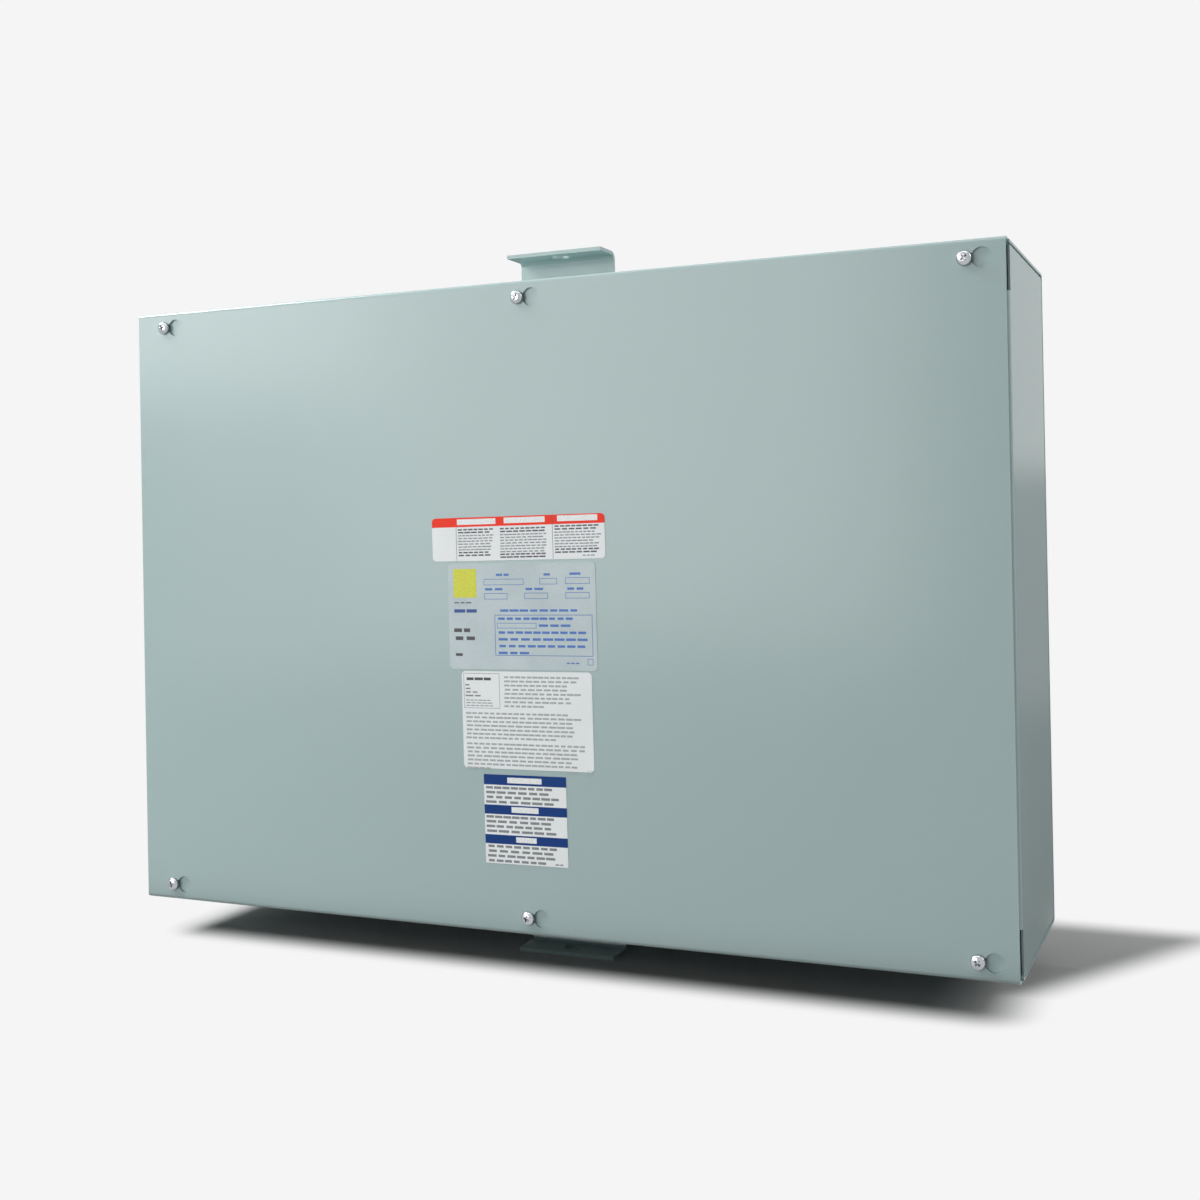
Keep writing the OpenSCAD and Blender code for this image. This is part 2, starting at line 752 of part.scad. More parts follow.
// Plan of a lug: round-cornered block that steps down to the tongue
module lug_outline() {
    edge_r = 3;
    rect(ear_x0, ear_front - tongue_t, barrel_x0 + edge_r, ear_front);
    round_rect(barrel_x0, lug_front, barrel_x0 + barrel_len, ear_front, edge_r);
    rect(barrel_x0, ear_front - edge_r, barrel_x0 + edge_r, ear_front);
}

// Hex bolts with washers, through lug and ear into the standoffs
module lug_bolts() {
    seat = ear_front - tongue_t;
    washer_t = washer_ratio * lug_bolt_d;
    color(zinc) for (i = [0:GROUND]) translate([lug_bolt_x, 0, lug_z(i)]) {
        rod_y(2 * lug_bolt_d, seat - washer_t, seat);
        hex_y(hex_ratio * lug_bolt_d, seat - washer_t - head_ratio * lug_bolt_d, seat);
        rod_y(lug_bolt_d, seat - washer_t, ear_rear + 1.2 * lug_bolt_d);
    }
}

// Socket set screws, backed out to clear the barrels
module lug_set_screws() {
    y1 = set_screw_tip;
    y0 = y1 - set_screw_len;
    color(steel) for (i = [0:GROUND]) translate([set_screw_x, 0, lug_z(i)]) difference() {
        rod_y(set_screw_d, y0, y1);
        hex_y(set_screw_d / 2, y0 - cut, y0 + set_screw_len / 2);
    }
}

// ---------- insulators ----------

// Blind threaded holes: the lug bolt enters from the front and the stud from the back
module standoff_bores(length) {
    rod_y(lug_bolt_d + 2 * run_gap, -cut, 1.4 * lug_bolt_d);
    rod_y(stud_d + 2 * run_gap, length - 2 * stud_d, length + cut);
}

// Ribbed insulators that carry the four live bars
module standoff_insulators() {
    length = strip_front - ear_rear;
    groove_w = length / 9;
    color(red_moulding) for (i = [0:GROUND - 1]) translate([lug_bolt_x, ear_rear, lug_z(i)]) difference() {
        rod_y(standoff_d, 0, length);
        for (k = [1, 3, 5, 7]) difference() {
            rod_y(standoff_d + cut, k * groove_w, (k + 1) * groove_w);
            rod_y(0.8 * standoff_d, k * groove_w - cut, (k + 1) * groove_w + cut);
        }
        standoff_bores(length);
    }
}

// Metal spacer that bonds the ground bar to the back sheet
module ground_spacer() {
    length = back_inner - ear_rear;
    color(tin) translate([lug_bolt_x, ear_rear, lug_z(GROUND)]) difference() {
        rod_y(spacer_d, 0, length);
        standoff_bores(length);
    }
}

// Base strip held under the standoffs, with a blade between each bar and the next
module phase_barriers() {
    strip_low = blade_z(GROUND - 1) - blade_t / 2;
    strip_high = bar_z(0) + bar_t;
    color(barrier_white) difference() {
        union() {
            along_y(strip_front, back_inner) rect(strip_x0, strip_low, strip_x1, strip_high);
            for (i = [0:GROUND - 1])
                along_z(blade_z(i) - blade_t / 2, blade_z(i) + blade_t / 2)
                    round_rect(strip_x0, -blade_reach, strip_x1, back_inner, blade_t);
        }
        for (i = [0:GROUND - 1])
            translate([lug_bolt_x, 0, lug_z(i)]) rod_y(stud_d + 2 * bolt_gap, strip_front - cut, back_inner + cut);
    }
}

// ---------- busway hooks and clamps ----------

// Strip that lies on the busway's rim and drops a lip behind it
module rim_strip(y0) {
    rect(y0, rim_z, hook_reach - hook_outer_r, rim_z + hook_t);
    quarter_bend(hook_reach - hook_outer_r, rim_z - hook_bend_r, hook_bend_r, hook_outer_r, 1, 1);
    rect(hook_reach - hook_t, rim_z + hook_t - lip_h, hook_reach, rim_z - hook_bend_r);
}

// Fixed hook welded to the rear face
module hook() {
    color(paint) along_x(hook_w) {
        rim_strip(hook_outer_r);
        quarter_bend(hook_outer_r, rim_z + hook_outer_r, hook_bend_r, hook_outer_r, -1, -1);
        rect(0, rim_z + hook_outer_r, hook_t, rim_z + foot_h);
    }
}

module left_hook() {
    translate([-clamp_x, 0, 0]) hook();
}

module right_hook() {
    translate([clamp_x, 0, 0]) hook();
}

// Sliding clamp: a hooked strip, its guide tongue through the back sheet, and a foot with a nut on the bolt
module clamp() {
    foot_rear = clamp_rest + hook_t;
    color(zinc) mirror([0, 0, 1]) difference() {
        union() {
            along_x(hook_w) rim_strip(clamp_rest);
            along_x(guide_w) rect(back_inner - guide_len, rim_z, clamp_rest + cut, rim_z + hook_t);
            along_x(hook_w) rect(clamp_rest, rim_z, foot_rear, rim_z + foot_h + hook_t);
            translate([0, 0, clamp_bolt_z]) hex_y(hex_ratio * clamp_bolt_d, clamp_rest, foot_rear + clamp_nut_h);
        }
        translate([0, 0, clamp_bolt_z])
            rod_y(clamp_bolt_d + 2 * run_gap, clamp_rest - cut, foot_rear + clamp_nut_h + cut);
    }
}

module left_clamp() {
    translate([-clamp_x, 0, 0]) clamp();
}

module right_clamp() {
    translate([clamp_x, 0, 0]) clamp();
}

// Flanged hex bolt turned from inside the box, with a push nut that keeps it in the back sheet
module clamp_bolt() {
    flange_front = back_inner - slide_gap - washer_ratio * clamp_bolt_d;
    push_nut_t = washer_ratio * clamp_bolt_d / 2;
    color(zinc) translate([0, 0, -clamp_bolt_z]) {
        rod_y(2.1 * clamp_bolt_d, flange_front, back_inner - slide_gap);
        hex_y(hex_ratio * clamp_bolt_d, flange_front - head_ratio * clamp_bolt_d, back_inner - slide_gap);
        rod_y(clamp_bolt_d, flange_front, clamp_bolt_tip);
        rod_y(hex_ratio * clamp_bolt_d, slide_gap, slide_gap + push_nut_t);
    }
}

module left_clamp_bolt() {
    translate([-clamp_x, 0, 0]) clamp_bolt();
}

module right_clamp_bolt() {
    translate([clamp_x, 0, 0]) clamp_bolt();
}

// ---------- one line for each node ----------

back_wrapper();
left_end_wall();
right_end_wall();
cover_nuts();
top_hanger_bracket();
bottom_hanger_bracket();
bracket_bolts();
bracket_nuts();
left_hook();
right_hook();
left_clamp();
right_clamp();
left_clamp_bolt();
right_clamp_bolt();
plug_base();
weld_studs();
stud_nuts();
jaw(0);  // jaw_a
jaw(1);  // jaw_b
jaw(2);  // jaw_c
jaw(3);  // jaw_neutral
jaw(4);  // jaw_ground
jaw_springs();
jaw_rivets();
bus_bar(0);  // bus_bar_a
bus_bar(1);  // bus_bar_b
bus_bar(2);  // bus_bar_c
bus_bar(3);  // bus_bar_neutral
bus_bar(4);  // bus_bar_ground
standoff_insulators();
ground_spacer();
phase_barriers();
lug(0);  // lug_a
lug(1);  // lug_b
lug(2);  // lug_c
lug(3);  // lug_neutral
lug(4);  // lug_ground
lug_bolts();
lug_set_screws();
cover_panel();
red_label();
silver_label();
white_label();
blue_label();
cover_screws();
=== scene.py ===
import json
import math

import bpy
import bmesh
from mathutils import Matrix, Vector

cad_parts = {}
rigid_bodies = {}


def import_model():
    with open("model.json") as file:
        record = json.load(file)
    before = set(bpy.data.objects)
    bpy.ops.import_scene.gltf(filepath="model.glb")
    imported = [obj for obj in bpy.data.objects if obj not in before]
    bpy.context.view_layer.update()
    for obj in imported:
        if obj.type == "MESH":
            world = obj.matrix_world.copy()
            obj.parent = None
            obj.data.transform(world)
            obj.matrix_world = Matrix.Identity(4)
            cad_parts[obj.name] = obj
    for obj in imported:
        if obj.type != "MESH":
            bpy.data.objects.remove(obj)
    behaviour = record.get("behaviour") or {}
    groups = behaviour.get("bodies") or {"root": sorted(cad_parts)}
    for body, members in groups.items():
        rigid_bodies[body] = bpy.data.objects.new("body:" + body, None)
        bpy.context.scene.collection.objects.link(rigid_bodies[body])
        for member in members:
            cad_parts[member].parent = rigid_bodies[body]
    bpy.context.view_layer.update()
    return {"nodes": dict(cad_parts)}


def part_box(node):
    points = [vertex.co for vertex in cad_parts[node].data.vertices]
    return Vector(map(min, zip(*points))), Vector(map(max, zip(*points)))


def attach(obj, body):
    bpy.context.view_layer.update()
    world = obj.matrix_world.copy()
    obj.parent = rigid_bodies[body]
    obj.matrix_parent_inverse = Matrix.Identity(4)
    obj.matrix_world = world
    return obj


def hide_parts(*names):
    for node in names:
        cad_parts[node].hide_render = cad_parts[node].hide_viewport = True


for leftover in list(bpy.data.objects):
    bpy.data.objects.remove(leftover)
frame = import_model()


# ---------- Camera ----------
# It stands to the right of the box, a little above its middle, and looks back to the left, so that the
# cover, the right end wall and both hanger brackets are in view.
lens = bpy.data.cameras.new("camera")
lens.lens = 45.05
lens.sensor_width = 36.0
lens.shift_y = -0.0667
camera = bpy.data.objects.new("camera", lens)
camera.location = (0.47174, -1.09174, 0.05514)
camera.rotation_euler = [math.radians(turn) for turn in (90.270, 1.070, 23.705)]
bpy.context.scene.collection.objects.link(camera)
bpy.context.scene.camera = camera
bpy.context.scene.view_settings.view_transform = "Standard"


# ---------- Studio floor ----------
# A matt table that the lower hanger bracket stands on. Near the box it is a lit surface in a darker grey, a
# painted shade that deepens the soft shadow it takes, and further out it runs into the plain pale backdrop.
class Wire:
    """A socket in a node tree: arithmetic on it adds Math nodes, and node() adds any other."""

    def __init__(self, tree, socket=None):
        self.tree, self.socket = tree, socket

    def node(self, kind, settings=None, sockets=None, out=0):
        """Adds a node with its settings, then its sockets' values or links, and gives one output."""
        made = self.tree.nodes.new(kind)
        for name, value in (settings or {}).items():
            setattr(made, name, value)
        for name, value in (sockets or {}).items():
            if isinstance(value, Wire):
                self.tree.links.new(value.socket, made.inputs[name])
            else:
                made.inputs[name].default_value = value
        return Wire(self.tree, made.outputs[out] if made.outputs else None)

    def maths(self, operation, *terms):
        return self.node("ShaderNodeMath", {"operation": operation}, dict(enumerate(terms)))

    def __add__(self, other):
        return self.maths("ADD", self, other)

    def __sub__(self, other):
        return self.maths("SUBTRACT", self, other)

    def __rsub__(self, other):
        return self.maths("SUBTRACT", other, self)

    def __mul__(self, other):
        return self.maths("MULTIPLY", self, other)

    def __truediv__(self, other):
        return self.maths("DIVIDE", self, other)

    def __abs__(self):
        return self.maths("ABSOLUTE", self)

    __radd__, __rmul__ = __add__, __mul__

    def ramp(self, low, high):
        """0 below low, 1 above high, and smooth between them."""
        return self.node("ShaderNodeMapRange", {"interpolation_type": "SMOOTHSTEP"},
                         {"Value": self, "From Min": low, "From Max": high})

    def blend(self, first, second):
        """The first colour where this is 0 and the second where it is 1."""
        return self.node("ShaderNodeMix", {"data_type": "RGBA"},
                         {"Factor": self, 6: first, 7: second}, out=2)

    def parts(self):
        """The X, Y and Z of a vector."""
        return [self.node("ShaderNodeSeparateXYZ", None, {"Vector": self}, out=axis) for axis in (0, 1, 2)]


def new_material(name):
    material = bpy.data.materials.new(name)
    material.use_nodes = True
    material.node_tree.nodes.clear()
    return material, Wire(material.node_tree)


def grey(level):
    return (level, level, level, 1.0)


def seen(start):
    """1 for what the camera, a reflection or a clear piece sees, and 0 for the light that it gives."""
    direct, mirrored, through = [start.node("ShaderNodeLightPath", out=f"Is {kind} Ray")
                                 for kind in ("Camera", "Glossy", "Transmission")]
    return start.maths("MAXIMUM", start.maths("MAXIMUM", direct, mirrored), through)


backdrop_level = 0.914
shaded_patch_grey = 0.45
floor_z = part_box("bottom_hanger_bracket")[0].z
floor_reach = 24.0
floor_corners = [(x * floor_reach, y * floor_reach, floor_z)
                 for x, y in ((-1, -1), (1, -1), (1, 1), (-1, 1))]
floor_mesh = bpy.data.meshes.new("floor")
floor_mesh.from_pydata(floor_corners, [], [(0, 1, 2, 3)])
floor = bpy.data.objects.new("floor", floor_mesh)
bpy.context.scene.collection.objects.link(floor)

# The lit patch lies just inside the box's own outline and holds the painted shade; outside it the camera
# sees the plain backdrop. Its right edge leans outwards towards the back, so the painted shade reaches
# further there, as the shadow does.
patch_left, patch_right, patch_front, patch_back = -0.295, 0.30, -0.112, 0.09
lean_start, lean_rate = 0.08, 0.6
fade_width = 0.048
table_top, start = new_material("table_top")
across, along, _ = start.node("ShaderNodeTexCoord", out="Object").parts()
leaning = start.maths("MAXIMUM", along + lean_start, 0.0) * lean_rate
right = start.maths("MAXIMUM", across - leaning - patch_right, 0.0)
left = start.maths("MAXIMUM", patch_left - across, 0.0)
front = start.maths("MAXIMUM", patch_front - along, 0.0)
back = start.maths("MAXIMUM", along - patch_back, 0.0)
away = start.maths("SQRT", (right + left) * (right + left) + (front + back) * (front + back))
# Painted shade: the patch's grey is darker than the backdrop, so the shadow under the box renders deeper
# than the lamps make it.
lit = start.node("ShaderNodeBsdfDiffuse", None, {"Color": grey(shaded_patch_grey), "Roughness": 0.0})
plain = start.node("ShaderNodeEmission", None, {"Color": grey(backdrop_level), "Strength": 1.0})
surface = start.node("ShaderNodeMixShader", None, {
    0: away.ramp(0.0, fade_width) * seen(start), 1: lit, 2: plain})
start.node("ShaderNodeOutputMaterial", None, {"Surface": surface})
floor_mesh.materials.append(table_top)


# ---------- Studio light ----------
# Three soft boxes at the left of the camera light the cover, a strong one stands high at the left, a wide
# one hangs overhead and one lights the end wall from behind. A glowing card behind and beside the set shows
# only in
# reflections: its greys are a painted reflection in the end wall's gloss, shaded low down and bright above.
# A dark flag in front keeps light off the lower bracket.
room_light = 0.04
room = bpy.data.worlds.new("room")
room.use_nodes = True
room.node_tree.nodes.clear()
start = Wire(room.node_tree)
level = seen(start) * (backdrop_level - room_light) + room_light
even = start.node("ShaderNodeBackground", None, {"Color": grey(1.0), "Strength": level})
start.node("ShaderNodeOutputWorld", None, {"Surface": even})
bpy.context.scene.world = room


def soft_box(name, place, aim, width, height, radiance):
    """A rectangular lamp at place, facing aim, that looks radiance times as bright as white paper."""
    lamp = bpy.data.lights.new(name, "AREA")
    lamp.shape, lamp.size, lamp.size_y = "RECTANGLE", width, height
    lamp.energy = radiance * math.pi * width * height
    holder = bpy.data.objects.new(name, lamp)
    holder.location = place
    holder.rotation_euler = (Vector(aim) - Vector(place)).to_track_quat("-Z", "Y").to_euler()
    bpy.context.scene.collection.objects.link(holder)


cover_middle, cover_upper, end_wall_middle = (-0.02, -0.15, 0.0), (-0.02, -0.15, 0.17), (0.33, -0.08, 0.0)
for name, place, aim, width, height, radiance in (
        ("front", (-0.83, -2.36, 0.63), cover_upper, 1.29, 1.74, 2.6),
        ("strip", (-1.72, -1.74, 0.58), cover_middle, 1.02, 0.42, 4.8),
        ("side", (-1.56, -1.99, 0.06), cover_middle, 0.42, 0.63, 1.2),
        ("left", (-1.72, -0.45, 1.67), cover_middle, 1.20, 0.93, 17.0),
        ("top", (-0.02, -0.77, 2.32), cover_middle, 2.4, 1.3, 1.4),
        ("right", (2.0, 0.3, 1.1), end_wall_middle, 1.0, 1.0, 7.4)):
    soft_box("soft_box_" + name, place, aim, width, height, radiance)


def stage_card(name, corners, faces, shade_of):
    """A card that no camera sees: shade_of makes its grey from its height and its place across."""
    mesh = bpy.data.meshes.new(name)
    mesh.from_pydata(corners, [], faces)
    card = bpy.data.objects.new(name, mesh)
    bpy.context.scene.collection.objects.link(card)
    material, start = new_material(name)
    across, _, height = start.node("ShaderNodeTexCoord", out="Object").parts()
    glow = start.node("ShaderNodeEmission", None, {"Color": shade_of(across, height), "Strength": 1.0})
    start.node("ShaderNodeOutputMaterial", None, {"Surface": glow})
    mesh.materials.append(material)
    card.visible_camera = False
    return card


def rear_shade(across, height):
    """A painted reflection for the end wall: nearly black at the left and greyer to the right, with a bright
    sky above that dims to the right.
    """
    foot_line, sky_line, low_turn, high_turn = (-0.24, -0.16), (0.09, 0.15), (0.1, 0.5), (-0.1, 0.3)
    dark, foot, side, sky, bright = [grey(level) for level in (0.05, 0.16, 0.27, 0.62, 0.9)]
    low = across.ramp(*low_turn).blend(dark, height.ramp(*foot_line).blend(foot, side))
    return height.ramp(*sky_line).blend(low, across.ramp(*high_turn).blend(bright, sky))


near, far, inner, wide, foot, top = -0.06, 1.0, 0.345, 1.6, -0.25, 0.9
rear = stage_card(
    "rear_card",
    ((inner, near, foot), (wide, near, foot), (wide, far, foot), (inner, far, foot),
     (-wide, far, foot), (wide, far, top), (-wide, far, top)),
    [(0, 1, 2, 3), (4, 2, 5, 6)], rear_shade)
rear.visible_shadow = rear.visible_diffuse = False
flag_reach, flag_front, flag_foot, flag_top = 0.6, -0.165, -0.2586, -0.2295
flag = stage_card(
    "front_flag",
    ((-flag_reach, flag_front, flag_foot), (flag_reach, flag_front, flag_foot),
     (flag_reach, flag_front, flag_top), (-flag_reach, flag_front, flag_top)),
    [(0, 1, 2, 3)], lambda across, height: grey(0.01))
flag.visible_glossy = False


# ---------- Painted sheet steel ----------
# The folded back, the end walls, the cover, the hooks and the hanger brackets are steel sheet with a
# grey-green baked enamel. It lies smooth with a faint orange peel, and is thicker in some places.
def painted(name):
    """Enamel that drifts between a thinner and a thicker coat, with fine grain and a raised orange peel."""
    material, start = new_material(name)
    at = start.node("ShaderNodeTexCoord", out="Object")
    drift = start.node("ShaderNodeTexNoise", None, {"Vector": at, "Scale": 6.0, "Detail": 3.0})
    grain = start.node("ShaderNodeTexNoise", None, {"Vector": at, "Scale": 1500.0, "Detail": 2.0})
    peel = start.node("ShaderNodeTexNoise", None, {"Vector": at, "Scale": 420.0, "Detail": 1.0})
    thin, thick = (0.372, 0.492, 0.486, 1.0), (0.398, 0.523, 0.519, 1.0)
    colour = (drift * 0.7 + grain * 0.3).blend(thin, thick)
    skin = start.node("ShaderNodeBump", None, {"Strength": 0.6, "Distance": 0.00002, "Height": peel})
    coat = start.node("ShaderNodeBsdfPrincipled", None, {
        "Base Color": colour, "Roughness": drift * 0.06 + 0.17, "Normal": skin, "Specular IOR Level": 0.5})
    start.node("ShaderNodeOutputMaterial", None, {"Surface": coat})
    return material


enamel = painted("grey_green_enamel")


def dress(material, *names):
    """Gives CAD nodes their finish."""
    for name in names:
        frame["nodes"][name].data.materials.clear()
        frame["nodes"][name].data.materials.append(material)


dress(enamel, "back_wrapper", "left_end_wall", "right_end_wall", "top_hanger_bracket",
      "bottom_hanger_bracket", "left_hook", "right_hook", "cover_panel")


# ---------- Zinc plate and plain steel ----------
# The fasteners are rolled steel with a thin bright zinc plate, a little blue and cloudy where the plate is
# thicker. The weld studs, the captive nuts, the springs and the set screws are plain grey steel.
def mottled(name, first, second, roughness, spread, metallic, clouds, grain,
            stretch=(1.0, 1.0, 1.0), depth=0.00001):
    """A finish whose colour and gloss drift in clouds, with a fine grain in its colour and relief."""
    material, start = new_material(name)
    at = start.node("ShaderNodeTexCoord", out="Object")
    along = start.node("ShaderNodeMapping", None, {"Vector": at, "Scale": stretch})
    cloud = start.node("ShaderNodeTexNoise", None, {
        "Vector": at, "Scale": clouds, "Detail": 4.0, "Roughness": 0.6})
    fine = start.node("ShaderNodeTexNoise", None, {
        "Vector": along, "Scale": grain, "Detail": 3.0, "Roughness": 0.6})
    colour = (cloud * 0.65 + fine * 0.35).ramp(0.3, 0.7).blend((*first, 1.0), (*second, 1.0))
    relief = start.node("ShaderNodeBump", None, {"Strength": 0.7, "Distance": depth, "Height": fine})
    skin = start.node("ShaderNodeBsdfPrincipled", None, {
        "Base Color": colour, "Roughness": cloud * spread + roughness, "Metallic": metallic,
        "Normal": relief})
    start.node("ShaderNodeOutputMaterial", None, {"Surface": skin})
    return material


zinc_plate = mottled("zinc_plate", (0.36, 0.39, 0.43), (0.56, 0.57, 0.57),
                     roughness=0.12, spread=0.16, metallic=1.0, clouds=160.0, grain=1400.0)
plain_steel = mottled("plain_steel", (0.40, 0.40, 0.41), (0.56, 0.56, 0.56),
                      roughness=0.28, spread=0.20, metallic=1.0, clouds=120.0, grain=1800.0)
dress(zinc_plate, "bracket_bolts", "bracket_nuts", "left_clamp", "right_clamp", "left_clamp_bolt",
      "right_clamp_bolt", "stud_nuts", "lug_bolts", "cover_screws")
dress(plain_steel, "cover_nuts", "weld_studs", "jaw_springs", "jaw_rivets", "lug_set_screws")


# ---------- Copper bars and jaws ----------
# Bars and jaw fingers are sheared from rolled copper strip. The metal is bright, with brown clouds of
# tarnish and the fine lines of rolling along its length.
bright_copper = mottled("bright_copper", (0.62, 0.30, 0.17), (0.86, 0.49, 0.33),
                        roughness=0.20, spread=0.22, metallic=1.0, clouds=40.0, grain=900.0,
                        stretch=(0.06, 1.0, 1.0))
phases = ("a", "b", "c", "neutral", "ground")
dress(bright_copper, *[kind + phase for phase in phases for kind in ("jaw_", "bus_bar_")])


# ---------- Tin plated lugs ----------
# The lugs are drawn aluminium with a dull tin plate, and so is the spacer that stands under the ground bar
# and bonds it to the back sheet.
tin_plate = mottled("tin_plate", (0.60, 0.60, 0.58), (0.78, 0.78, 0.75),
                    roughness=0.32, spread=0.16, metallic=1.0, clouds=90.0, grain=1600.0)
dress(tin_plate, "ground_spacer", *["lug_" + phase for phase in phases])


# ---------- Mouldings and barrier sheet ----------
# The plug base is a matt black thermoset with a faint speckle of its filler, and the standoffs are glossy
# red glass polyester. The barriers between the bars are an off-white pressed insulating sheet.
black_thermoset = mottled("black_thermoset", (0.018, 0.018, 0.020), (0.034, 0.034, 0.036),
                          roughness=0.42, spread=0.16, metallic=0.0, clouds=30.0, grain=1100.0,
                          depth=0.00003)
red_polyester = mottled("red_polyester", (0.24, 0.022, 0.012), (0.36, 0.040, 0.020),
                        roughness=0.18, spread=0.12, metallic=0.0, clouds=60.0, grain=700.0)
pressed_sheet = mottled("pressed_sheet", (0.66, 0.62, 0.50), (0.78, 0.75, 0.65),
                        roughness=0.50, spread=0.15, metallic=0.0, clouds=20.0, grain=1300.0,
                        depth=0.00004)
dress(black_thermoset, "plug_base")
dress(red_polyester, "standoff_insulators")
dress(pressed_sheet, "phase_barriers")


# ---------- Cover screws ----------
# Six zinc plated No. 10 machine screws with pan heads and cross recesses hold the cover through its
# keyholes. Each was driven until tight, so every recess points another way.
def ring(radius, height, sides=40):
    turns = [2 * math.pi * step / sides for step in range(sides)]
    return [(radius * math.cos(turn), radius * math.sin(turn), height) for turn in turns]


def skin_over(rings):
    """A closed mesh over rings of equally many points, with a flat cap on the first and on the last."""
    shape = bmesh.new()
    loops = [[shape.verts.new(point) for point in points] for points in rings]
    for low, high in zip(loops, loops[1:]):
        for here in range(len(low)):
            there = (here + 1) % len(low)
            shape.faces.new((low[here], low[there], high[there], high[here]))
    shape.faces.new(list(reversed(loops[0])))
    shape.faces.new(loops[-1])
    bmesh.ops.recalc_face_normals(shape, faces=shape.faces)
    mesh = bpy.data.meshes.new("skin")
    shape.to_mesh(mesh)
    shape.free()
    return mesh


def settled(name, mesh, change, settings):
    """A plain mesh: the given one after a modifier, whose object and modifier go again."""
    holder = bpy.data.objects.new(name, mesh)
    bpy.context.scene.collection.objects.link(holder)
    modifier = holder.modifiers.new("change", change)
    for key, value in settings.items():
        if hasattr(modifier, key):
            setattr(modifier, key, value)
        else:
            inputs = {item.name: item.identifier for item in modifier.node_group.interface.items_tree}
            modifier[inputs[key]] = value
    solid = bpy.data.meshes.new_from_object(holder.evaluated_get(bpy.context.evaluated_depsgraph_get()))
    bpy.data.objects.remove(holder)
    solid.name = name
    return solid


def node_tree(name, sockets):
    """An empty geometry tree with a geometry in and out, further inputs, and its Wire for each input."""
    tree = bpy.data.node_groups.new(name, "GeometryNodeTree")
    tree.interface.new_socket("Geometry", in_out="INPUT", socket_type="NodeSocketGeometry")
    for label, kind in sockets.items():
        tree.interface.new_socket(label, in_out="INPUT", socket_type="NodeSocket" + kind)
    tree.interface.new_socket("Geometry", in_out="OUTPUT", socket_type="NodeSocketGeometry")
    start = tree.nodes.new("NodeGroupInput")
    return tree, [Wire(tree, start.outputs[index]) for index in range(1 + len(sockets))]


# Stands a piece on each point of a mesh and turns it by the point's own angle.
stand, (points, piece, metal) = node_tree("stand_on_points", {"Piece": "Object", "Metal": "Material"})
shape = points.node("GeometryNodeObjectInfo", {"transform_space": "ORIGINAL"}, {"Object": piece},
                    out="Geometry")
turn = points.node("GeometryNodeInputNamedAttribute", {"data_type": "FLOAT"}, {"Name": "turn"})
spin = points.node("ShaderNodeCombineXYZ", None, {"Z": turn})
copies = points.node("GeometryNodeInstanceOnPoints", None, {
    "Points": points, "Instance": shape, "Rotation": spin})
copies = points.node("GeometryNodeRealizeInstances", None, {"Geometry": copies})
copies = points.node("GeometryNodeSetMaterial", None, {"Geometry": copies, "Material": metal})
points.node("NodeGroupOutput", None, {"Geometry": copies})

# A round bar whose surface is drawn inwards along a helix, as a rolled thread.
thread, (blank, radius, length, lead, depth) = node_tree(
    "rolled_thread", {"Radius": "Float", "Length": "Float", "Lead": "Float", "Depth": "Float"})
segments_a_turn, whole_turns_up = 6.0, 40.0
bar = blank.node("GeometryNodeMeshCylinder", None, {
    "Vertices": 24, "Side Segments": length / lead * segments_a_turn, "Radius": radius, "Depth": length})
across, along, height = blank.node("GeometryNodeInputPosition").parts()
angle = blank.maths("ARCTAN2", along, across)
place_in_turn = blank.maths("FRACT", height / lead + angle / (2 * math.pi) + whole_turns_up)
groove = abs(place_in_turn * 2.0 - 1.0) * depth / radius
inward = blank.node("ShaderNodeCombineXYZ", None, {
    "X": across * groove * -1.0, "Y": along * groove * -1.0})
inward = blank.node("GeometryNodeSetPosition", None, {"Geometry": bar, "Offset": inward})
blank.node("NodeGroupOutput", None, {"Geometry": inward})


def joined(name, parts):
    """One mesh of several, each moved by its own matrix."""
    whole = bmesh.new()
    for mesh, move in parts:
        copy = mesh.copy()
        copy.transform(move)
        whole.from_mesh(copy)
        bpy.data.meshes.remove(copy)
    mesh = bpy.data.meshes.new(name)
    whole.to_mesh(mesh)
    whole.free()
    return mesh


crease_angle = math.radians(28)


def set_out(name, mesh, places, turns, facing, metal, body, node):
    """Stands a piece, built with its head towards +Z, on each place in metres, in the stead of a node."""
    spots = bpy.data.meshes.new(name)
    spots.from_pydata([facing.inverted() @ Vector(place) for place in places], [], [])
    angles = spots.attributes.new("turn", "FLOAT", "POINT")
    angles.data.foreach_set("value", [math.radians(turn) for turn in turns])
    pattern = bpy.data.objects.new(name + "_pattern", mesh)
    solid = settled(name, spots, "NODES", {"node_group": stand, "Piece": pattern, "Metal": metal})
    bpy.data.objects.remove(pattern)
    solid.transform(facing)
    solid.shade_smooth()
    solid.set_sharp_from_angle(angle=crease_angle)
    finished = bpy.data.objects.new(name, solid)
    bpy.context.scene.collection.objects.link(finished)
    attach(finished, body)
    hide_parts(node)


# The radius and the height of each ring of the head, in mm above its seat.
head_rings = [(2.0, -0.3), (4.60, 0.0), (4.78, 0.20), (4.80, 1.00), (4.70, 1.50), (4.40, 2.10), (3.9, 2.60),
              (3.2, 2.98), (2.4, 3.22), (1.4, 3.36), (0.5, 3.40)]
head_height = head_rings[-1][1] / 1000
pan_head = skin_over([ring(radius / 1000, height / 1000) for radius, height in head_rings])
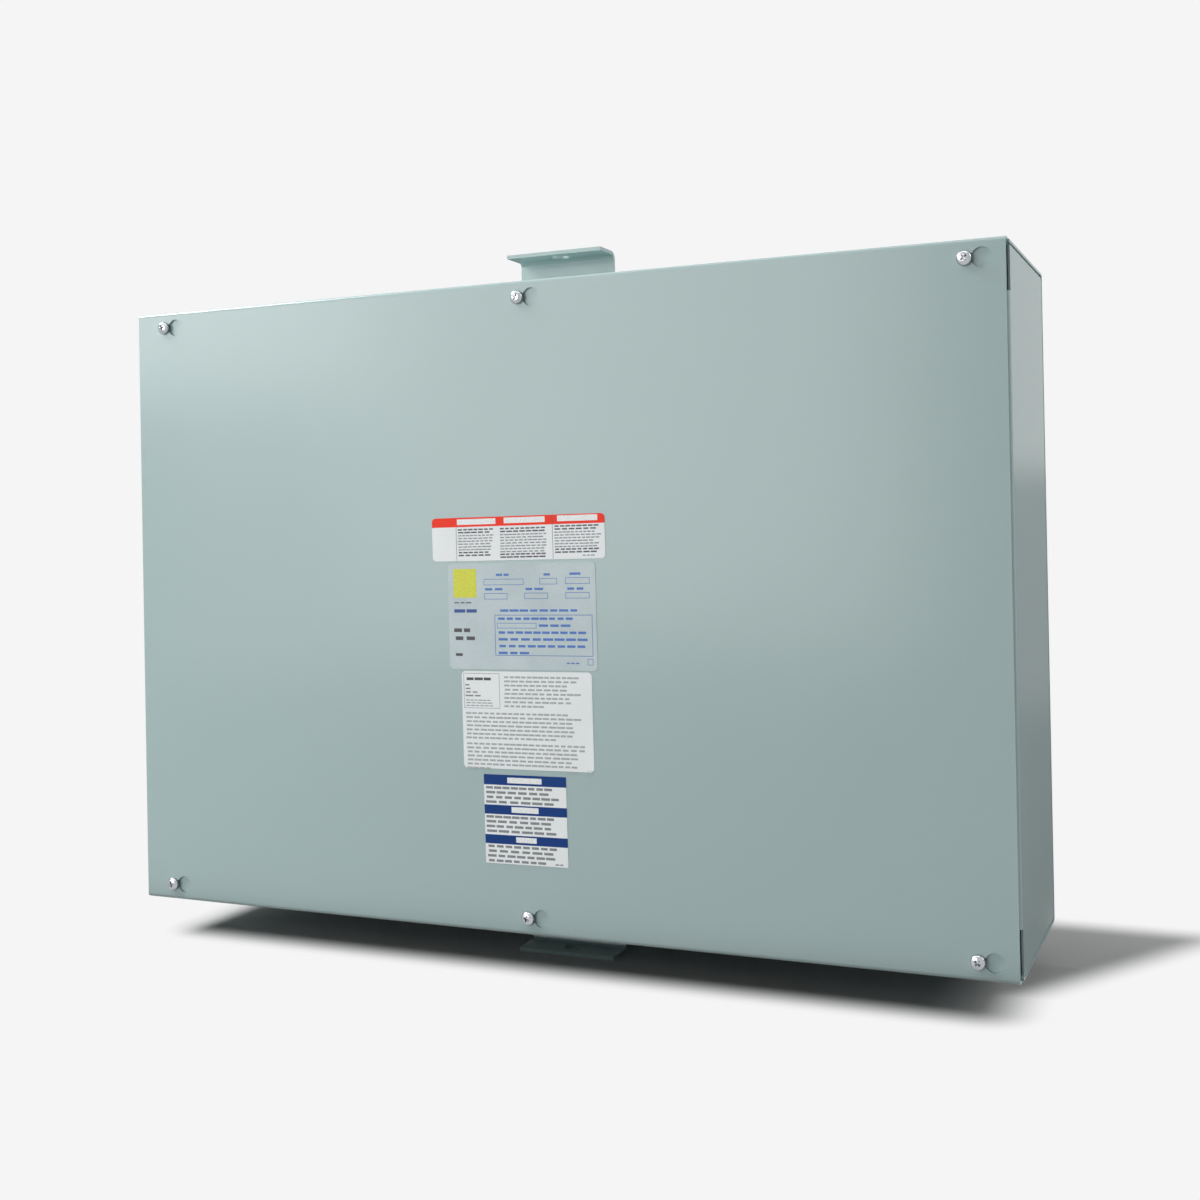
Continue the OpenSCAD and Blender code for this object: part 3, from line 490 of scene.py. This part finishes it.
# Half the length, half the width and the height of the cross recess at its mouth and at its foot, in mm.
recess_mouth, recess_foot = (2.45, 0.62, 3.6), (1.05, 0.42, 1.2)
for turn in (0, 90):
    wing = skin_over([[(x * reach / 1000, y * half / 1000, height / 1000)
                       for x, y in ((-1, -1), (1, -1), (1, 1), (-1, 1))]
                      for reach, half, height in (recess_mouth, recess_foot)])
    wing.transform(Matrix.Rotation(math.radians(turn), 4, "Z"))
    cutter = bpy.data.objects.new("cutter", wing)
    bpy.context.scene.collection.objects.link(cutter)
    pan_head = settled("pan_head", pan_head, "BOOLEAN", {
        "operation": "DIFFERENCE", "solver": "EXACT", "object": cutter})
    bpy.data.objects.remove(cutter)
screw_thread = settled("thread", bpy.data.meshes.new("empty"), "NODES", {
    "node_group": thread, "Radius": 0.00236, "Length": 0.0136, "Lead": 0.00106, "Depth": 0.00045})
thread_middle = -0.0070
cover_screw = joined("cover_screw", [
    (pan_head, Matrix()), (screw_thread, Matrix.Translation((0, 0, thread_middle)))])
toward_front = Matrix(((1, 0, 0, 0), (0, 0, -1, 0), (0, 1, 0, 0), (0, 0, 0, 1)))
screw_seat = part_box("cover_screws")[0].y + head_height
screw_row, outer_screw = 0.2165, 0.3084
screw_places = [(x, screw_seat, z)
                for z in (screw_row, -screw_row) for x in (-outer_screw, 0.0, outer_screw)]
set_out("cover_screw_set", cover_screw, screw_places, (20, 63, 38, 12, 74, 49), toward_front, zinc_plate,
        "cover_screws", "cover_screws")


# ---------- Red headed label ----------
# A white vinyl label with an orange-red head band and three columns of text, stuck on a little askew. The
# ink is a film a few hundredths of a millimetre thick: text is rows of word-like bars, rules are strips.
def label_film(name, low, high, roughness, place, bands=(), colour=(0.0, 0.0, 0.0)):
    """A film that drifts between two colours, with bands of print between heights in mm from its middle."""
    x, z, tilt = place
    lean = math.radians(tilt)
    blur = 0.00004
    material, start = new_material(name)
    at = start.node("ShaderNodeTexCoord", out="Object")
    across, _, up = at.parts()
    height = (up - z / 1000) * math.cos(lean) - (across - x / 1000) * math.sin(lean)
    cloud = start.node("ShaderNodeTexNoise", None, {"Vector": at, "Scale": 35.0, "Detail": 4.0})
    fine = start.node("ShaderNodeTexNoise", None, {"Vector": at, "Scale": 1800.0, "Detail": 2.0})
    base = (cloud * 0.5 + fine * 0.5).ramp(0.3, 0.7).blend((*low, 1.0), (*high, 1.0))
    for bottom, top in bands:
        over_bottom, over_top = [height.ramp(edge / 1000 - blur, edge / 1000 + blur)
                                 for edge in (bottom, top)]
        inside = over_bottom - over_top
        base = inside.blend(base, (*colour, 1.0))
    relief = start.node("ShaderNodeBump", None, {"Strength": 0.5, "Distance": 0.00001, "Height": cloud})
    skin = start.node("ShaderNodeBsdfPrincipled", None, {
        "Base Color": base, "Roughness": fine * 0.08 + roughness, "Specular IOR Level": 0.2,
        "Normal": relief})
    start.node("ShaderNodeOutputMaterial", None, {"Surface": skin})
    return material


def ink(name, colour):
    material, start = new_material(name)
    at = start.node("ShaderNodeTexCoord", out="Object")
    patchy = start.node("ShaderNodeTexNoise", None, {"Vector": at, "Scale": 900.0, "Detail": 2.0})
    lighter = [part * 1.15 + 0.01 for part in colour]
    shade = patchy.ramp(0.35, 0.65).blend((*colour, 1.0), (*lighter, 1.0))
    skin = start.node("ShaderNodeBsdfPrincipled", None, {
        "Base Color": shade, "Roughness": patchy * 0.1 + 0.35})
    start.node("ShaderNodeOutputMaterial", None, {"Surface": skin})
    return material


# Sets as many word-like blocks in each row as fit in its ragged reach.
words, (rows, film, seed, ink_socket) = node_tree(
    "word_bars", {"Film": "Float", "Seed": "Int", "Ink": "Material"})
per_row = {key: rows.node("GeometryNodeInputNamedAttribute", {"data_type": "FLOAT"}, {"Name": key})
           for key in ("reach", "pitch", "height")}
shrink = rows.node("FunctionNodeRandomValue", {"data_type": "FLOAT"}, {2: 0.88, 3: 1.0, "Seed": seed}, out=1)
count = rows.maths("FLOOR", per_row["reach"] * shrink / per_row["pitch"])
each = rows.node("GeometryNodeDuplicateElements", {"domain": "POINT"}, {"Geometry": rows, "Amount": count})
order = Wire(rows.tree, each.socket.node.outputs["Duplicate Index"])
onward = rows.node("ShaderNodeCombineXYZ", None, {"X": (order + 0.5) * per_row["pitch"]})
row_of_words = rows.node("GeometryNodeSetPosition", None, {"Geometry": each, "Offset": onward})
fill = rows.node("FunctionNodeRandomValue", {"data_type": "FLOAT"},
                 {2: 0.66, 3: 0.95, "Seed": seed + 1.0}, out=1)
size = rows.node("ShaderNodeCombineXYZ", None, {
    "X": per_row["pitch"] * fill, "Y": film, "Z": per_row["height"]})
block = rows.node("GeometryNodeMeshCube", None, {"Size": (1.0, 1.0, 1.0)})
row_of_words = rows.node("GeometryNodeInstanceOnPoints", None, {
    "Points": row_of_words, "Instance": block, "Scale": size})
row_of_words = rows.node("GeometryNodeRealizeInstances", None, {"Geometry": row_of_words})
row_of_words = rows.node("GeometryNodeSetMaterial", None, {"Geometry": row_of_words, "Material": ink_socket})
rows.node("NodeGroupOutput", None, {"Geometry": row_of_words})

ink_film = 0.04


def word_share(row):
    """Makes the words of each row a little longer or shorter than those of the next."""
    return 0.80 + 0.35 * (row * 0.618 % 1.0)


def printed(name, place, colour_material, blocks=(), strips=(), outlines=(), seed=1):
    """Ink on a label, sized in mm from the label's middle.

    A block of words is (left, first row, row pitch, rows, width, word pitch, height), a strip is
    (left, bottom, right, top) and an outline is a strip with the width of its line after it.
    """
    bars = list(strips)
    for left, bottom, right, top, line in outlines:
        bars += [(left, bottom, right, bottom + line), (left, top - line, right, top),
                 (left, bottom + line, left + line, top - line),
                 (right - line, bottom + line, right, top - line)]
    parts = []
    if blocks:
        lines = [(left, 0.0, first - pitch * row, width, word * word_share(row), height)
                 for left, first, pitch, count, width, word, height in blocks for row in range(count)]
        starts = bpy.data.meshes.new("rows")
        starts.from_pydata([line[:3] for line in lines], [], [])
        for key, column in (("reach", 3), ("pitch", 4), ("height", 5)):
            values = starts.attributes.new(key, "FLOAT", "POINT").data
            values.foreach_set("value", [line[column] for line in lines])
        parts.append((settled("words", starts, "NODES", {
            "node_group": words, "Film": ink_film, "Seed": seed, "Ink": colour_material}), Matrix()))
    for left, bottom, right, top in bars:
        flat = skin_over([[(x, y, z) for x, y in ((left, -ink_film / 2), (right, -ink_film / 2),
                                                  (right, ink_film / 2), (left, ink_film / 2))]
                          for z in (bottom, top)])
        parts.append((flat, Matrix()))
    mesh = joined(name, parts)
    x, z, tilt = place
    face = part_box("silver_label")[0].y * 1000 - ink_film / 2
    mesh.transform(Matrix.Scale(0.001, 4) @ Matrix.Translation((x, face, z))
                   @ Matrix.Rotation(math.radians(-tilt), 4, "Y"))
    mesh.materials.clear()
    mesh.materials.append(colour_material)
    finished = bpy.data.objects.new(name, mesh)
    bpy.context.scene.collection.objects.link(finished)
    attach(finished, "cover")


red_place = (-3.9, 48.6, 0.6)
white_low, white_high, white_roughness = (0.84, 0.875, 0.885), (0.90, 0.935, 0.945), 0.30
head_band, head_red = (8.8, 16.0), (0.93, 0.032, 0.006)
dress(label_film("red_headed_vinyl", white_low, white_high, white_roughness, red_place,
                 (head_band,), head_red), "red_label")
white_ink = ink("white_ink", (0.78, 0.80, 0.80))
black_ink = ink("black_ink", (0.035, 0.035, 0.04))
grey_ink = ink("grey_ink", (0.20, 0.21, 0.22))
printed("red_label_heads", red_place, white_ink,
        strips=((-47.0, 10.3, -16.2, 14.3), (-9.6, 10.5, 22.3, 14.5), (31.8, 10.7, 62.2, 14.7)))
printed("red_label_rules", red_place, black_ink,
        strips=((-48.0, -15.2, -47.7, 8.8), (27.9, -15.2, 28.2, 15.3)),
        blocks=((-46.8, 6.8, 2.0, 2, 31.0, 5.2, 1.0), (-13.2, 6.8, 2.0, 2, 40.0, 5.0, 1.0),
                (29.2, 7.4, 2.0, 2, 37.2, 5.3, 1.0), (-46.8, -9.4, 2.0, 2, 31.0, 5.2, 1.0),
                (-13.2, -11.2, 2.0, 2, 40.0, 5.0, 1.0), (29.2, -8.6, 2.0, 2, 37.2, 5.3, 1.0)), seed=3)
printed("red_label_text", red_place, grey_ink,
        blocks=((-46.8, 2.6, 2.0, 6, 31.0, 4.0, 0.8), (-13.2, 2.6, 2.0, 7, 40.0, 4.2, 0.8),
                (29.2, 3.2, 2.0, 6, 37.2, 3.9, 0.8), (50.0, -13.1, 2.0, 1, 14.0, 4.0, 0.7)), seed=5)


# ---------- Silver rating plate ----------
# A plate of silver-blue polyester film with a bare yellow-green tile in its upper left corner, boxes for
# the ratings and a framed block of text, in blue and black ink.
silver_place = (-1.4, -6.3, 0.4)
silver_low, silver_high, silver_roughness = (0.50, 0.59, 0.61), (0.61, 0.70, 0.72), 0.34
dress(label_film("silver_polyester", silver_low, silver_high, silver_roughness, silver_place),
      "silver_label")
blue_ink = ink("blue_ink", (0.045, 0.15, 0.46))
navy_ink = ink("navy_ink", (0.005, 0.05, 0.24))
yellow_ink = ink("yellow_ink", (0.60, 0.62, 0.03))
printed("silver_label_tile", silver_place, yellow_ink, strips=((-53.2, 13.4, -34.8, 33.8),))
printed("silver_label_maker", silver_place, black_ink,
        blocks=((-53.4, 9.8, 2.0, 1, 19.0, 6.0, 0.8), (-53.9, -9.7, 5.7, 2, 18.5, 9.0, 2.6),
                (-52.8, -27.0, 2.0, 1, 8.0, 7.6, 1.9)), seed=8)
printed("silver_label_name", silver_place, navy_ink,
        blocks=((-53.4, 4.0, 2.0, 1, 26.5, 12.0, 2.4),), seed=2)
printed("silver_label_text", silver_place, blue_ink,
        outlines=((-28.8, 22.1, 2.5, 26.4, 0.35), (15.0, 22.3, 28.3, 26.6, 0.35),
                  (34.6, 22.5, 53.1, 26.9, 0.35), (-28.7, 12.1, -10.3, 16.4, 0.35),
                  (2.9, 12.3, 21.2, 16.5, 0.35), (34.7, 12.5, 52.8, 16.7, 0.35),
                  (-20.8, -27.4, 54.5, 1.2, 0.4), (-19.0, -8.3, 11.8, -4.5, 0.35),
                  (50.2, -33.4, 54.4, -29.0, 0.35)),
        blocks=((-19.3, 29.3, 2.0, 1, 14.2, 7.0, 1.6), (17.9, 29.2, 2.0, 1, 7.2, 6.9, 1.6),
                (37.2, 29.5, 2.0, 1, 13.4, 12.6, 1.6), (-29.0, 19.2, 2.0, 1, 20.4, 10.0, 1.6),
                (2.9, 19.2, 2.0, 1, 19.0, 9.4, 1.6), (35.2, 19.2, 2.0, 1, 17.6, 8.8, 1.6),
                (-16.9, 4.2, 2.0, 1, 68.0, 9.6, 1.6), (-18.7, -1.5, 2.0, 1, 67.0, 8.2, 1.7),
                (13.0, -6.3, 2.0, 1, 32.5, 10.6, 1.7), (-18.8, -11.2, 4.75, 3, 73.0, 8.6, 1.7),
                (-18.8, -25.5, 2.0, 1, 33.0, 10.4, 1.7), (33.8, -32.2, 2.0, 1, 14.0, 4.4, 0.9)), seed=11)


# ---------- White text label ----------
# A white vinyl label with a framed box in its upper left corner and paragraphs of small grey text.
# It is stuck on under the rating plate, as askew as the red headed one.
white_place = (1.5, -79.0, 0.6)
dress(label_film("white_vinyl", white_low, white_high, white_roughness, white_place), "white_label")
pale_ink = ink("pale_ink", (0.36, 0.38, 0.39))
printed("white_label_title", white_place, black_ink,
        blocks=((-47.3, 28.8, 2.0, 1, 26.0, 8.6, 1.9),), seed=4)
printed("white_label_box", white_place, grey_ink, outlines=((-49.1, 8.1, -20.5, 32.8, 0.3),),
        blocks=((-48.1, 24.5, 2.6, 2, 5.0, 4.6, 1.0), (-48.1, 19.4, 2.5, 2, 14.0, 6.6, 1.0),
                (-47.8, 13.7, 1.9, 3, 25.0, 4.2, 0.6)), seed=6)
printed("white_label_text", white_place, pale_ink,
        blocks=((-17.3, 30.2, 2.9, 7, 61.0, 5.6, 1.3), (-17.6, 9.9, 2.0, 1, 36.0, 5.6, 1.3),
                (-48.1, 4.5, 2.9, 6, 94.0, 5.9, 1.3), (-48.3, -12.8, 2.0, 1, 74.0, 5.9, 1.3),
                (-48.0, -17.0, 2.85, 6, 97.0, 6.1, 1.3), (-48.2, -34.1, 2.0, 1, 23.0, 6.1, 1.3),
                (29.1, -34.8, 2.0, 1, 14.0, 4.4, 0.8)), outlines=((45.7, -36.1, 49.1, -33.1, 0.25),), seed=7)


# ---------- Blue banded label ----------
# A small white vinyl label in three parts. Each has a blue band with a bare white heading on it and three
# or four rows of grey text below.
blue_place = (-0.8, -148.5, 0.7)
blue_bands, band_blue = ((24.0, 32.0), (3.4, 9.9), (-17.4, -11.0)), (0.0, 0.040, 0.205)
dress(label_film("blue_banded_vinyl", white_low, white_high, white_roughness, blue_place,
                 blue_bands, band_blue), "blue_label")
printed("blue_label_heads", blue_place, white_ink,
        strips=((-13.4, 25.5, 13.3, 29.4), (-10.7, 4.9, 10.3, 8.9), (-7.7, -15.9, 8.2, -12.1)))
printed("blue_label_text", blue_place, grey_ink,
        blocks=((-31.0, 22.0, 3.35, 4, 62.0, 8.2, 1.7), (-31.1, 1.5, 3.35, 4, 62.0, 8.4, 1.7),
                (-30.8, -19.2, 3.35, 3, 62.0, 8.6, 1.7), (-30.7, -29.3, 2.0, 1, 50.0, 8.2, 1.7),
                (22.0, -29.6, 2.0, 1, 9.0, 4.2, 0.9)), seed=9)
